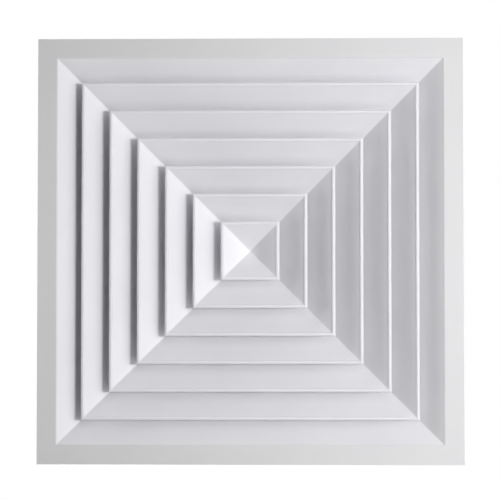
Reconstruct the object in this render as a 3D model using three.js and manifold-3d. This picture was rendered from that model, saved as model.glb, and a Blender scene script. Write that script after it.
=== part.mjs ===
// Square four-way ceiling air diffuser with an opposed-blade damper in its neck.
//
// Millimetres, +Z up into the duct. The diffuser hangs face down: the origin is the centre of
// the face, on the plane of the flange's room side, and everything else is above it.
// A profile is drawn in the (r, z) plane, where r is the distance from the middle to one side.
// Three things move: the core pulls straight down out of the frame, the eight damper blades
// turn about axes along Y, and the link plate slides along X and turns all eight together.

import * as THREE from 'three';
import { mergeVertices } from 'three/addons/utils/BufferGeometryUtils.js';
import Module from 'manifold-3d';

const wasm = await Module();
wasm.setup();

// ---------------------------------------------------------------- driving dimensions

const FACE_HALF = 297.5; // a 595 mm face, for a 600 mm ceiling grid
const FLANGE_INNER = 270.5; // where the flat flange turns up into the frame's slope
const NECK_HALF = 224; // a 448 mm square spigot, for a 450 mm duct boot
const NECK_TOP = 72;
const CONE_HALF = 41.2; // the centre cone's lip
const LOUVRE_PITCH = 39; // from one lip to the next
const LOUVRE_COUNT = 5;
const SLOPE = THREE.MathUtils.degToRad(39); // of louvres and frame, from the ceiling plane
const DAMPER_BLADES = 8;
const DAMPER_PITCH = 55; // between damper blade axes
const DAMPER_AXIS_Z = 84;

const GAP = 0.3; // clearance between pieces that touch
const MITRE_GAP = 0.2; // taken off each end of a mitred bar

// Frame section
const FLANGE_WALL = 1.6;
const FRAME_WALL = 1.4;
const EDGE_RADIUS = 0.5; // on the flange's outer room-side edge
const RETURN_HEIGHT = 6.5; // stiffening return round the outside of the flange
const KEY_CHANNEL = { inner: 279, outer: 288.6, rib: 1.2, hook: 1.6, hookWall: 1, top: 5.8 };
const KEY_LEG = 50;

// Louvre section
const LOUVRE_WALL = 1.3;
const LIP_RADIUS = 2.85;
const LIP_HEIGHT = 3.85; // the lip's centre above the face
const LIP_TO_ROOM_FACE = 2.2; // from the lip's centre to the louvre's room side
const BEND_RADIUS = 14; // room side of the bend below the leg, and below the neck
const BEND_INSET = 30; // from the lip to the bend's centre
const LEG_TOP = 48;

// Core carrier
const BAR = { wall: 2, bottom: 42.3, top: 55, reach: 212, foot: 19 };
const BAR_CROSSING = 48.6; // height where the two bars are halved into each other
const POST = { radius: 9, bottom: 27.5, top: 47 };
const CLIP = { wall: 0.8, width: 12, bottom: 43.5 };
const RIVET = { radius: 1.6, head: 3, headHeight: 1.2, z: 47.2 };
const FOOT_MIDDLE = BAR.foot / 2 - BAR.wall / 2; // along the side, from the bar's own middle

// Damper
const RAIL = { outer: 222, inner: 210.8, wall: 1.2, bottom: 60, top: 108, stop: 227, stopZ: 72.4 };
const DAMPER_HALF_LENGTH = 210;
const DAMPER_HALF_CHORD = 27.1;
const DAMPER_HEM = { width: 4, wall: 2.2 };
const DAMPER_WALL = 1.2;
const DAMPER_TUBE = 4; // radius of the tube down the middle of a blade
const DAMPER_REST = Math.PI / 4; // blades stand half open
const JOURNAL = { radius: 3, end: 222.3, hole: 3.3 };
const CRANK = { throw: 12, near: 209.5, far: 213, hub: 5, tip: 3.6, pin: 2, pinEnd: 217 };
const LINK = { near: 213.6, wall: 1.5, half: 206, bottom: 65, top: 103 };
const LINK_WINDOW = { half: 13, halfHeight: 3.4 }; // passes a journal at both ends of the stroke
const LINK_SLOT = { half: 2.7, past: 2.8 }; // passes a crank pin, and ends past its centre
const LEVER = { x: -110, width: 12, wall: 1.5, bottom: 46, top: 74, tab: 204 };
const LEVER_SLOT = { half: 16, near: 214.4, far: 218 };
const SCREW = { x: 165, z: 66, shank: 1.7, head: 3.6, headHeight: 2.2, tip: 218.5, hole: 2.1 };

const SIDES = [
  { name: 'right', turn: 0 },
  { name: 'rear', turn: Math.PI / 2 },
  { name: 'left', turn: Math.PI },
  { name: 'front', turn: -Math.PI / 2 },
];

// Polar angle, in a profile, of the direction square to a louvre's room side
const ROOM_NORMAL = Math.PI * 1.5 - SLOPE;

// ---------------------------------------------------------------- materials

const WHITE_COAT = new THREE.MeshStandardMaterial({ color: 0xf0f1f2, roughness: 0.5 });
const GALVANISED = new THREE.MeshStandardMaterial({ color: 0xa9adb0, roughness: 0.45, metalness: 0.9 });
const SPRING_STEEL = new THREE.MeshStandardMaterial({ color: 0x7c8086, roughness: 0.3, metalness: 1 });
const BLACK_PAINT = new THREE.MeshStandardMaterial({ color: 0x1c1d1f, roughness: 0.6 });
const ZINC = new THREE.MeshStandardMaterial({ color: 0xc4c6c8, roughness: 0.3, metalness: 1 });

// ---------------------------------------------------------------- geometry helpers

/** Gives a manifold solid for a closed geometry. */
function toSolid(geometry) {
  const bare = new THREE.BufferGeometry();
  bare.setAttribute('position', geometry.getAttribute('position'));
  bare.setIndex(geometry.getIndex());
  const merged = mergeVertices(bare, 1e-4);
  const corners = merged.getIndex().array;
  const triangles = [];
  for (let i = 0; i < corners.length; i += 3) {
    const [a, b, c] = corners.slice(i, i + 3);
    if (a !== b && b !== c && c !== a) {
      triangles.push(a, b, c);
    }
  }
  return new wasm.Manifold(new wasm.Mesh({
    numProp: 3,
    vertProperties: merged.getAttribute('position').array,
    triVerts: new Uint32Array(triangles),
  }));
}

/** Gives the geometry of a manifold solid, flat shaded. */
function toGeometry(solid) {
  const { vertProperties, triVerts } = solid.getMesh();
  const indexed = new THREE.BufferGeometry();
  indexed.setAttribute('position', new THREE.BufferAttribute(vertProperties, 3));
  indexed.setIndex(new THREE.BufferAttribute(triVerts, 1));
  const geometry = indexed.toNonIndexed();
  geometry.computeVertexNormals();
  return geometry;
}

/** Joins the first geometries and cuts the others away. */
function combine(added, cuts = []) {
  let solid = toSolid(added[0]);
  for (const piece of added.slice(1)) {
    solid = solid.add(toSolid(piece));
  }
  for (const cut of cuts) {
    solid = solid.subtract(toSolid(cut));
  }
  return toGeometry(solid);
}

/** A bar of constant profile along one side, at +X, with both ends mitred at 45 degrees. */
function mitredBar(profile, curveSegments = 4) {
  const bar = new THREE.ExtrudeGeometry(profile, { depth: 1, bevelEnabled: false, curveSegments });
  const position = bar.getAttribute('position');
  for (let i = 0; i < position.count; i += 1) {
    const r = position.getX(i);
    const end = 1 - 2 * position.getZ(i);
    position.setXYZ(i, r, end * (r - MITRE_GAP), position.getY(i));
  }
  bar.computeVertexNormals();
  return bar;
}

/** A shape drawn in the XZ plane, made solid along Y between two places. */
function extrudeAlongY(shape, from, to, curveSegments = 6) {
  const solid = new THREE.ExtrudeGeometry(shape, { depth: to - from, bevelEnabled: false, curveSegments });
  solid.rotateX(Math.PI / 2);
  solid.translate(0, to, 0);
  return solid;
}

/** A box between two corners. */
function block(low, high) {
  const size = high.map((value, axis) => value - low[axis]);
  const box = new THREE.BoxGeometry(...size);
  box.translate(...low.map((value, axis) => value + size[axis] / 2));
  return box;
}

/** A round bar along X or Y, between two places on that axis. */
function roundBar(axis, radius, from, to, centre, segments = 12) {
  const bar = new THREE.CylinderGeometry(radius, radius, to - from, segments);
  bar.translate(0, (from + to) / 2, 0);
  if (axis === 'x') {
    bar.rotateZ(-Math.PI / 2);
  }
  bar.translate(...centre);
  return bar;
}

/** A square solid about Z, from the outline of its section in one side's middle. */
function squareTurned(points) {
  const corners = points.map((point) => new THREE.Vector2(point.x * Math.SQRT2, point.y));
  const solid = new THREE.LatheGeometry(corners, 4, Math.PI / 4);
  solid.rotateX(Math.PI / 2);
  return solid;
}

// ---------------------------------------------------------------- profiles

/** Frame section: flange with its return and key channel, slope, bend and neck. */
function frameProfile() {
  const neckInner = NECK_HALF - FRAME_WALL;
  const bendX = neckInner + BEND_RADIUS;
  const bendZ = (BEND_RADIUS + (FLANGE_INNER - bendX) * Math.sin(SLOPE)) / Math.cos(SLOPE);
  const slopeFoot = FLANGE_INNER + (FRAME_WALL - FLANGE_WALL * Math.cos(SLOPE)) / Math.sin(SLOPE);

  const profile = new THREE.Shape();
  profile.moveTo(FACE_HALF, RETURN_HEIGHT);
  profile.lineTo(FACE_HALF - FRAME_WALL, RETURN_HEIGHT);
  profile.lineTo(FACE_HALF - FRAME_WALL, FLANGE_WALL);
  addHookedRibs(profile);
  profile.lineTo(slopeFoot, FLANGE_WALL);
  profile.absarc(bendX, bendZ, BEND_RADIUS - FRAME_WALL, ROOM_NORMAL, Math.PI, true);
  profile.lineTo(NECK_HALF, NECK_TOP);
  profile.lineTo(neckInner, NECK_TOP);
  profile.absarc(bendX, bendZ, BEND_RADIUS, Math.PI, ROOM_NORMAL, false);
  profile.lineTo(FLANGE_INNER, 0);
  profile.absarc(FACE_HALF - EDGE_RADIUS, EDGE_RADIUS, EDGE_RADIUS, -Math.PI / 2, 0, false);
  return profile;
}

/** Continues a profile inward over the two ribs whose hooks hold a corner key down. */
function addHookedRibs(profile) {
  const { inner, outer, rib, hook, hookWall, top } = KEY_CHANNEL;
  const under = top - hookWall;
  const outerFace = outer + GAP;
  profile.lineTo(outerFace + rib, FLANGE_WALL);
  profile.lineTo(outerFace + rib, top);
  profile.lineTo(outerFace - hook, top);
  profile.lineTo(outerFace - hook, under);
  profile.lineTo(outerFace, under);
  profile.lineTo(outerFace, FLANGE_WALL);
  const innerFace = inner - GAP;
  profile.lineTo(innerFace, FLANGE_WALL);
  profile.lineTo(innerFace, under);
  profile.lineTo(innerFace + hook, under);
  profile.lineTo(innerFace + hook, top);
  profile.lineTo(innerFace - rib, top);
  profile.lineTo(innerFace - rib, FLANGE_WALL);
}

/** Adds a louvre's lip to a profile, from its room side round to its duct side. */
function addLip(profile, lipHalf) {
  const roomSide = ROOM_NORMAL - Math.acos(LIP_TO_ROOM_FACE / LIP_RADIUS);
  const ductSide = ROOM_NORMAL - Math.acos((LIP_TO_ROOM_FACE - LOUVRE_WALL) / LIP_RADIUS);
  profile.absarc(lipHalf - LIP_RADIUS, LIP_HEIGHT, LIP_RADIUS, roomSide, ductSide, false);
}

/** Louvre section: leg, bend, slope and bull-nosed lip. */
function louvreProfile(lipHalf) {
  const bendX = lipHalf - BEND_INSET;
  const across = Math.sin(SLOPE) * (BEND_INSET - LIP_RADIUS);
  const bendZ = LIP_HEIGHT + (BEND_RADIUS - LIP_TO_ROOM_FACE + across) / Math.cos(SLOPE);
  const profile = new THREE.Shape();
  profile.moveTo(bendX - BEND_RADIUS + LOUVRE_WALL, LEG_TOP);
  profile.lineTo(bendX - BEND_RADIUS, LEG_TOP);
  profile.absarc(bendX, bendZ, BEND_RADIUS, Math.PI, ROOM_NORMAL, false);
  addLip(profile, lipHalf);
  profile.absarc(bendX, bendZ, BEND_RADIUS - LOUVRE_WALL, ROOM_NORMAL, Math.PI, true);
  return profile;
}

/** Height at which the cone's room side or duct side meets the axis. */
function coneApex(lipToFace) {
  return LIP_HEIGHT + ((CONE_HALF - LIP_RADIUS) * Math.sin(SLOPE) - lipToFace) / Math.cos(SLOPE);
}

/** Damper rail section: a channel that opens inward, with a stop that rests on the neck. */
function railProfile() {
  const { outer, inner, wall, bottom, top, stop, stopZ } = RAIL;
  const profile = new THREE.Shape();
  profile.moveTo(inner, bottom);
  profile.lineTo(outer, bottom);
  profile.lineTo(outer, stopZ);
  profile.lineTo(stop, stopZ);
  profile.lineTo(stop, stopZ + wall);
  profile.lineTo(outer, stopZ + wall);
  profile.lineTo(outer, top);
  profile.lineTo(inner, top);
  profile.lineTo(inner, top - wall);
  profile.lineTo(outer - wall, top - wall);
  profile.lineTo(outer - wall, bottom + wall);
  profile.lineTo(inner, bottom + wall);
  return profile;
}

/** Damper blade section, lying flat: a plate with hemmed edges and a tube along its middle. */
function damperBladeProfile() {
  const hemInner = DAMPER_HALF_CHORD - DAMPER_HEM.width;
  const plate = DAMPER_WALL / 2;
  const hem = DAMPER_HEM.wall / 2;
  const meet = Math.asin(plate / DAMPER_TUBE);
  const profile = new THREE.Shape();
  profile.moveTo(DAMPER_HALF_CHORD, -hem);
  for (const side of [1, -1]) {
    const from = side > 0 ? 0 : Math.PI;
    profile.lineTo(side * DAMPER_HALF_CHORD, side * hem);
    profile.lineTo(side * hemInner, side * hem);
    profile.lineTo(side * hemInner, side * plate);
    profile.absarc(0, 0, DAMPER_TUBE, from + meet, from + Math.PI - meet, false);
    profile.lineTo(side * -hemInner, side * plate);
    profile.lineTo(side * -hemInner, side * hem);
    profile.lineTo(side * -DAMPER_HALF_CHORD, side * hem);
  }
  return profile;
}

// ---------------------------------------------------------------- frame

function neckScrewHoles(radius) {
  const { x, z } = SCREW;
  return [-x, x].map((y) => roundBar('x', radius, SCREW.tip, NECK_HALF + GAP, [0, y, z]));
}

function frameSide(holes) {
  const side = mitredBar(frameProfile());
  return holes ? combine([side], neckScrewHoles(SCREW.hole)) : side;
}

/** L-shaped plate that slides into the key channels of two sides at the +X +Y corner. */
function cornerKey() {
  const { inner, outer } = KEY_CHANNEL;
  const end = outer - KEY_LEG;
  const plate = new THREE.Shape();
  plate.moveTo(outer, outer);
  plate.lineTo(end, outer);
  plate.lineTo(end, inner);
  plate.lineTo(inner, inner);
  plate.lineTo(inner, end);
  plate.lineTo(outer, end);
  const wall = KEY_CHANNEL.top - KEY_CHANNEL.hookWall - FLANGE_WALL - 2 * GAP;
  const key = new THREE.ExtrudeGeometry(plate, { depth: wall, bevelEnabled: false });
  key.translate(0, 0, FLANGE_WALL + GAP);
  return key;
}

// ---------------------------------------------------------------- core

/** The centre cone: four louvre sections carried up to one point. */
function centreCone() {
  const lip = new THREE.Path();
  addLip(lip, CONE_HALF);
  return squareTurned([
    new THREE.Vector2(0, coneApex(LIP_TO_ROOM_FACE)),
    ...lip.getPoints(5),
    new THREE.Vector2(0, coneApex(LIP_TO_ROOM_FACE - LOUVRE_WALL)),
  ]);
}

/** Centres of the upright legs of one side's louvres, from the outermost inward. */
function legPlaces() {
  const places = [];
  for (let step = LOUVRE_COUNT; step > 0; step -= 1) {
    places.push(louvreLip(step) - BEND_INSET - BEND_RADIUS + LOUVRE_WALL / 2);
  }
  return places;
}

/** Half-width over the lip of a louvre, counted outward from the cone. */
function louvreLip(step) {
  return CONE_HALF + step * LOUVRE_PITCH;
}

/** Flat carrier bar along X, notched over the legs, with an end bent over for each clip. */
function crossBar(halvedFromAbove) {
  const { wall, bottom, top, reach, foot } = BAR;
  const bothEnds = (geometry) => [geometry, geometry.clone().rotateZ(Math.PI)];
  const strap = block([-reach, -wall / 2, bottom], [reach, wall / 2, top]);
  const bentEnd = block([reach - wall, -wall / 2, bottom], [reach, foot - wall / 2, top]);
  const rivetPlace = [0, FOOT_MIDDLE, RIVET.z];
  const rivetHole = roundBar('x', RIVET.radius + GAP, reach - 2 * wall, reach + 1, rivetPlace);

  const clear = LOUVRE_WALL / 2 + GAP;
  const notches = legPlaces().flatMap((r) => [r, -r]).map((x) => (
    block([x - clear, -wall, bottom - 1], [x + clear, wall, LEG_TOP + GAP])
  ));
  const half = wall / 2 + GAP;
  const halving = halvedFromAbove
    ? block([-half, -wall, BAR_CROSSING - GAP / 2], [half, wall, top + 1])
    : block([-half, -wall, bottom - 1], [half, wall, BAR_CROSSING + GAP / 2]);
  return combine([strap, ...bothEnds(bentEnd)], [...notches, halving, ...bothEnds(rivetHole)]);
}

/** Round post that ties the cone to the crossing of the two bars. */
function centrePost() {
  const { radius, bottom, top } = POST;
  const post = new THREE.CylinderGeometry(radius, radius, top - bottom, 24);
  post.rotateX(Math.PI / 2);
  post.translate(0, 0, (top + bottom) / 2);

  const apex = coneApex(LIP_TO_ROOM_FACE - LOUVRE_WALL) + GAP / Math.cos(SLOPE);
  const recess = squareTurned([
    new THREE.Vector2(0, 0),
    new THREE.Vector2(apex / Math.tan(SLOPE), 0),
    new THREE.Vector2(0, apex),
  ]);
  const half = BAR.wall / 2 + GAP;
  const slots = [
    block([-2 * radius, -half, BAR.bottom - GAP], [2 * radius, half, top + 1]),
    block([-half, -2 * radius, BAR.bottom - GAP], [half, 2 * radius, top + 1]),
  ];
  return combine([post], [recess, ...slots]);
}

/** Leaf spring on a bar's foot at +X, bowed out against the inside of the neck. */
function coreClip() {
  const { wall, width, bottom } = CLIP;
  const back = BAR.reach + GAP + wall / 2;
  const bow = NECK_HALF - FRAME_WALL - GAP - wall / 2;
  const leaf = new THREE.SplineCurve([
    new THREE.Vector2(back, bottom),
    new THREE.Vector2(back, 50),
    new THREE.Vector2(back + 0.3, 54),
    new THREE.Vector2(back + 2.4, 56),
    new THREE.Vector2(back + 4.6, 54.6),
    new THREE.Vector2(bow, 49.5),
    new THREE.Vector2(bow - 1, 46),
    new THREE.Vector2(bow - 4.2, 42),
  ]);
  const steps = 22;
  const outside = [];
  const inside = [];
  for (let i = 0; i <= steps; i += 1) {
    const place = leaf.getPoint(i / steps);
    const along = leaf.getTangent(i / steps);
    const across = new THREE.Vector2(-along.y, along.x).multiplyScalar(wall / 2);
    outside.push(place.clone().add(across));
    inside.push(place.clone().sub(across));
  }
  const ribbon = new THREE.Shape([...outside, ...inside.reverse()]);
  const clip = extrudeAlongY(ribbon, FOOT_MIDDLE - width / 2, FOOT_MIDDLE + width / 2);
  const hole = roundBar('x', RIVET.radius + GAP, BAR.reach - 1, back + 1, [0, FOOT_MIDDLE, RIVET.z]);
  return combine([clip], [hole]);
}

/** Rivet through a clip and its foot, with a head on each side. */
function clipRivet() {
  const { radius, head, headHeight, z } = RIVET;
  const inner = BAR.reach - BAR.wall - GAP;
  const outer = BAR.reach + CLIP.wall + 2 * GAP;
  const centre = [0, FOOT_MIDDLE, z];
  return combine([
    roundBar('x', radius, inner - headHeight / 2, outer + headHeight / 2, centre),
    roundBar('x', head, inner - headHeight, inner, centre),
    roundBar('x', head, outer, outer + headHeight, centre),
  ]);
}

// ---------------------------------------------------------------- damper

/** Places along X of the damper blades' axes. */
function bladeAxes() {
  const first = -DAMPER_PITCH * (DAMPER_BLADES - 1) / 2;
  return Array.from({ length: DAMPER_BLADES }, (_, i) => first + i * DAMPER_PITCH);
}

function damperRail(side) {
  const rail = mitredBar(railProfile());
  if (side !== 'front' && side !== 'rear') {
    return rail;
  }
  const { outer, bottom } = RAIL;
  const cuts = neckScrewHoles(SCREW.hole);
  for (const y of bladeAxes()) {
    cuts.push(roundBar('x', JOURNAL.hole, outer - 3, outer + 1, [0, y, DAMPER_AXIS_Z]));
  }
  if (side === 'front') {
    const { half, near, far } = LEVER_SLOT;
    cuts.push(block([near, LEVER.x - half, bottom - 1], [far, LEVER.x + half, bottom + 3]));
  }
  return combine([rail], cuts);
}

/** Self-tapping screw through the neck into a rail, at +X. */
function damperScrew() {
  const { shank, head, headHeight, tip, z } = SCREW;
  const seat = NECK_HALF + GAP;
  return combine([
    roundBar('x', shank, tip, seat + headHeight / 2, [0, 0, z]),
    roundBar('x', head, seat, seat + headHeight, [0, 0, z]),
  ]);
}

/** Outline of a crank: a hub on the blade's axis and a smaller end round the pin. */
function crankShape(up) {
  const lean = Math.asin((CRANK.hub - CRANK.tip) / CRANK.throw);
  const crank = new THREE.Shape();
  const towards = up > 0 ? Math.PI / 2 : -Math.PI / 2;
  const spread = Math.PI / 2 - lean;
  crank.absarc(0, 0, CRANK.hub, towards + spread, towards - spread, false);
  crank.absarc(0, up * CRANK.throw, CRANK.tip, towards - spread, towards + spread, false);
  return crank;
}

/** Damper blade about its own axis, with its crank, its pin and its two journals. */
function damperBlade(up) {
  const blade = extrudeAlongY(damperBladeProfile(), -DAMPER_HALF_LENGTH, DAMPER_HALF_LENGTH, 3);
  blade.rotateY(-up * DAMPER_REST);
  const { near, far, throw: lift, pin, pinEnd, hub } = CRANK;
  return combine([
    blade,
    extrudeAlongY(crankShape(up), -far, -near, 3),
    roundBar('y', pin, -pinEnd, -near, [0, 0, up * lift]),
    roundBar('y', JOURNAL.radius, -JOURNAL.end, -near, [0, 0, 0]),
    roundBar('y', hub, near, far - 1, [0, 0, 0]),
    roundBar('y', JOURNAL.radius, near, JOURNAL.end, [0, 0, 0]),
  ]);
}

/** Link plate: a window for each journal, opened into a slot for each crank pin. */
function linkPlate() {
  const { near, wall, half, bottom, top } = LINK;
  const [front, back] = [-near - wall, -near];
  const plate = block([-half, front, bottom], [half, back, top]);
  const cuts = bladeAxes().flatMap((x, i) => {
    const slotEnd = DAMPER_AXIS_Z + bladeSense(i) * (CRANK.throw + LINK_SLOT.past);
    const [low, high] = [Math.min(DAMPER_AXIS_Z, slotEnd), Math.max(DAMPER_AXIS_Z, slotEnd)];
    const window = block(
      [x - LINK_WINDOW.half, front - 1, DAMPER_AXIS_Z - LINK_WINDOW.halfHeight],
      [x + LINK_WINDOW.half, back + 1, DAMPER_AXIS_Z + LINK_WINDOW.halfHeight],
    );
    const slot = block([x - LINK_SLOT.half, front - 1, low], [x + LINK_SLOT.half, back + 1, high]);
    return [window, slot];
  });
  return combine([plate], cuts);
}

/** Lever that hangs from the link plate and ends in a tab reached through the core. */
function damperLever() {
  const { x, width, wall, bottom, top, tab } = LEVER;
  const back = -(LINK.near + LINK.wall + GAP);
  return combine([
    block([x - width / 2, back - wall, bottom], [x + width / 2, back, top]),
    block([x - width / 2, back - wall, bottom], [x + width / 2, -tab, bottom + wall]),
  ]);
}

/** Which way a blade's crank points: up for the odd blades, down for the even ones. */
function bladeSense(index) {
  return index % 2 === 0 ? 1 : -1;
}

// ---------------------------------------------------------------- assembly

function piece(name, geometry, material) {
  const mesh = new THREE.Mesh(geometry, material);
  mesh.name = name;
  return mesh;
}

/** A group turned so that its +X side becomes the named side. */
function turned(side, ...children) {
  const group = new THREE.Group();
  group.rotation.z = side.turn;
  group.add(...children);
  return group;
}

function buildFrame() {
  const frame = new THREE.Group();
  SIDES.forEach((side, i) => {
    const screwed = side.name === 'front' || side.name === 'rear';
    frame.add(turned(
      side,
      piece(`frame_side_${side.name}`, frameSide(screwed), WHITE_COAT),
      piece(`frame_corner_key_${i + 1}`, cornerKey(), GALVANISED),
    ));
  });
  return frame;
}

function buildCore() {
  const core = new THREE.Group();
  for (let ring = 1; ring <= LOUVRE_COUNT; ring += 1) {
    const lipHalf = louvreLip(LOUVRE_COUNT + 1 - ring);
    for (const side of SIDES) {
      const louvre = mitredBar(louvreProfile(lipHalf), 5);
      core.add(turned(side, piece(`louvre_${ring}_${side.name}`, louvre, WHITE_COAT)));
    }
  }
  core.add(piece('centre_cone', centreCone(), WHITE_COAT));
  core.add(piece('centre_post', centrePost(), GALVANISED));

  const lowerBar = piece('cross_bar_lower', crossBar(true), GALVANISED);
  const upperBar = piece('cross_bar_upper', crossBar(false), GALVANISED);
  upperBar.rotation.z = Math.PI / 2;
  core.add(lowerBar, upperBar);
  for (const side of SIDES) {
    core.add(turned(
      side,
      piece(`core_clip_${side.name}`, coreClip(), SPRING_STEEL),
      piece(`clip_rivet_${side.name}`, clipRivet(), ZINC),
    ));
  }
  return core;
}

function buildDamper() {
  const damper = new THREE.Group();
  for (const side of SIDES) {
    damper.add(turned(side, piece(`damper_rail_${side.name}`, damperRail(side.name), GALVANISED)));
  }
  bladeAxes().forEach((x, i) => {
    const blade = piece(`damper_blade_${i + 1}`, damperBlade(bladeSense(i)), BLACK_PAINT);
    blade.position.set(x, 0, DAMPER_AXIS_Z);
    damper.add(blade);
  });
  damper.add(piece('link_plate', linkPlate(), GALVANISED));
  damper.add(piece('damper_lever', damperLever(), GALVANISED));

  let number = 0;
  for (const side of SIDES.filter(({ name }) => name === 'front' || name === 'rear')) {
    for (const y of [-SCREW.x, SCREW.x]) {
      number += 1;
      const screw = piece(`damper_screw_${number}`, damperScrew(), ZINC);
      screw.position.y = y;
      damper.add(turned(side, screw));
    }
  }
  return damper;
}

const diffuser = new THREE.Group();
diffuser.add(buildFrame(), buildCore(), buildDamper());

export default diffuser;
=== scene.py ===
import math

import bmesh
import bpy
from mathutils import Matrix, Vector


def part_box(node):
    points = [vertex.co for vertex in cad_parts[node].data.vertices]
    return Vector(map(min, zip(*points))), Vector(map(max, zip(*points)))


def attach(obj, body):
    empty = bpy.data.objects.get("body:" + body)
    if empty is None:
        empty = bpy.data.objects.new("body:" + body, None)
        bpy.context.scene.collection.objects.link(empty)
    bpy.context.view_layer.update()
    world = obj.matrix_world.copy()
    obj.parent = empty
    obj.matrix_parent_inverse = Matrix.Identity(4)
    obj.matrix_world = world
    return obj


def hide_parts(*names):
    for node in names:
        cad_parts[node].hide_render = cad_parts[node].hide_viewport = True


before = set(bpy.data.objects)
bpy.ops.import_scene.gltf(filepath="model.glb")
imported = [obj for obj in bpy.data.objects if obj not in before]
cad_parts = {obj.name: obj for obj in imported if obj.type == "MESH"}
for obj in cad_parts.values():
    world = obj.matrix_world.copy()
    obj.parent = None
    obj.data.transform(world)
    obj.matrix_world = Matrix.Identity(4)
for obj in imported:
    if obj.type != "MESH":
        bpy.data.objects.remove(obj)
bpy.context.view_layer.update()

# Square four-way ceiling air diffuser, seen from the room below.
#
# Lengths are millimetres until MM turns them into Blender's metres. A section is drawn in the
# (r, z) plane, where r is the distance from the middle of the diffuser to its +X side, and a
# piece is made on that side and then turned to its own side. Every mesh is made in place, so
# the object coordinates of every material are the frame's own axes.

MM = 0.001

# ---------------------------------------------------------------- sizes

SLOPE = math.radians(39)  # of louvres and frame, from the ceiling plane
FLANGE_INNER = 270.5
FLANGE_WALL = 1.6
FRAME_WALL = 1.4
FLANGE_EASE = 2.5  # radius where the flat flange turns up into the slope
RETURN_HEIGHT = 6.5  # of the flange's upturned outer edge
KEY_CHANNEL = {"inner": 279, "outer": 288.6, "rib": 1.2, "hook": 1.6, "hook_wall": 1, "top": 5.8}
KEY_LEG = 50
KEY_DIMPLE = {"radius": 1.7, "depth": 0.9, "places": (8, 26)}  # places along a leg, from its end
BEND_RADIUS = 14
GAP = 0.3  # between pieces that touch
HAIRLINE = 0.02  # off each end of a coated bar, whose mitres are closed
RAIL_MITRE = 0.2  # off each end of a damper rail

LOUVRE_COUNT = 5
LOUVRE_WALL = 1.3
LIP_RADIUS = 2.85
LIP_HEIGHT = 3.85
LIP_TO_ROOM_FACE = 2.2  # from the lip's centre, square to the slope
LIP_TO_DUCT_FACE = LIP_TO_ROOM_FACE - LOUVRE_WALL

BAR_WALL = 2
BAR_CROSSING = 48.6
POST_RADIUS = 9
CLIP = {"wall": 0.8, "width": 12}
RIVET = {"radius": 1.6, "head": 3, "height": 1.2, "z": 47.2}
RIVET_DOME = ((1, 0), (0.96, 0.3), (0.8, 0.62), (0.5, 0.86), (0.2, 0.98), (0, 0.97))  # height, radius

RAIL = {"wall": 1.2, "outer": 222, "stop": 227, "stop_z": 72.4}
NECK_SCREW = {"along": 165, "z": 66, "shank": 1.7, "head": 3.6, "height": 2.2, "tip": 218.5}
SCREW_THREAD = {"pitch": 0.7, "root": 0.74, "runout": 0.8}  # root and runout as parts of the shank
SCREW_RECESS = ((-1.3, 0.7, 0.25), (0.2, 1.9, 0.5))  # height over the head, reach, half width
SCREW_HOLE = 2.1
BLADE = {"half_length": 210, "half_chord": 27.1, "wall": 1.2, "hem": 4, "hem_wall": 2.2, "tube": 4}
BLADE_COUNT = 8
BLADE_AXIS_Z = 84
BLADE_REST = math.radians(45)
JOURNAL = {"radius": 3, "hole": 3.3, "end": 222.3, "chamfer": 0.5}
BUSH = {"flange": 5, "thickness": 0.7, "inside": 0.9, "edge": 0.15, "bore_play": 0.05, "fit": 0.03}
CRANK = {"throw": 12, "near": 209.5, "far": 213, "hub": 5, "tip": 3.6}  # near and far along Y
PIN = {"radius": 2, "end": 217, "chamfer": 0.4}
PUSH_NUT = ((0.4, 2.2), (0.6, 3.2), (0.95, 3.4), (1.15, 3.4))  # distance from the pin's end, radius
LINK_WINDOW = {"half": 13, "half_height": 3.4}
LINK_SLOT = {"half": 2.7, "past": 2.8}
LEVER = {"x": -110, "width": 12, "wall": 1.5}
LEVER_SLOT = {"half": 16, "near": 214.4, "far": 218}
LEVER_RIVET = {"aside": 3.2, "z": 69.5}
LEVER_RIVET_HEAD = ((1.0, 1.2), (0.8, 1.9), (0.3, 2.4), (0, 2.5))  # height, radius
LEVER_RIVET_TAIL = ((0, 2.3), (0.4, 2.1), (0.6, 1.4))

SIDES = {"right": 0, "rear": 90, "left": 180, "front": -90}  # degrees about +Z from +X

ARC_STEP = math.radians(12)
LIP_STEPS = 30
SHARP_FROM = 32  # degrees between two faces whose shading stays apart
SOFTENED_FROM = 35  # degrees between two faces whose edge is rounded


def extent(node):
    """Lowest and highest corner of a CAD node at rest."""
    low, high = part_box(node)
    return Vector(low) / MM, Vector(high) / MM


NECK_INNER = extent("frame_side_right")[0].x


# ---------------------------------------------------------------- outlines

def fillet(corners):
    """A closed outline with rounded corners, from corners (x, y, radius)."""
    points = []
    for i, (x, y, radius) in enumerate(corners):
        here = Vector((x, y))
        if radius == 0:
            points.append(here)
            continue
        back = (Vector(corners[i - 1][:2]) - here).normalized()
        ahead = (Vector(corners[(i + 1) % len(corners)][:2]) - here).normalized()
        inside = back.angle(ahead)
        turn = math.pi - inside
        if back.cross(ahead) > 0:
            turn = -turn
        centre = here + (back + ahead).normalized() * (radius / math.sin(inside / 2))
        spoke = here + back * (radius / math.tan(inside / 2)) - centre
        count = max(2, math.ceil(abs(turn) / ARC_STEP))
        for k in range(count + 1):
            points.append(centre + Matrix.Rotation(turn * k / count, 2) @ spoke)
    return points


def arc(x, y, radius, start, end, count):
    """Points on an arc, both ends included."""
    angles = [start + (end - start) * k / count for k in range(count + 1)]
    return [Vector((x + radius * math.cos(a), y + radius * math.sin(a))) for a in angles]


def sharp(points):
    """Points as corners with no rounding."""
    return [(point.x, point.y, 0) for point in points]


def rectangle(x0, y0, x1, y1, radius=0.0):
    """A rectangle between two opposite corners, with all four rounded."""
    return fillet([(x0, y0, radius), (x1, y0, radius), (x1, y1, radius), (x0, y1, radius)])


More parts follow.
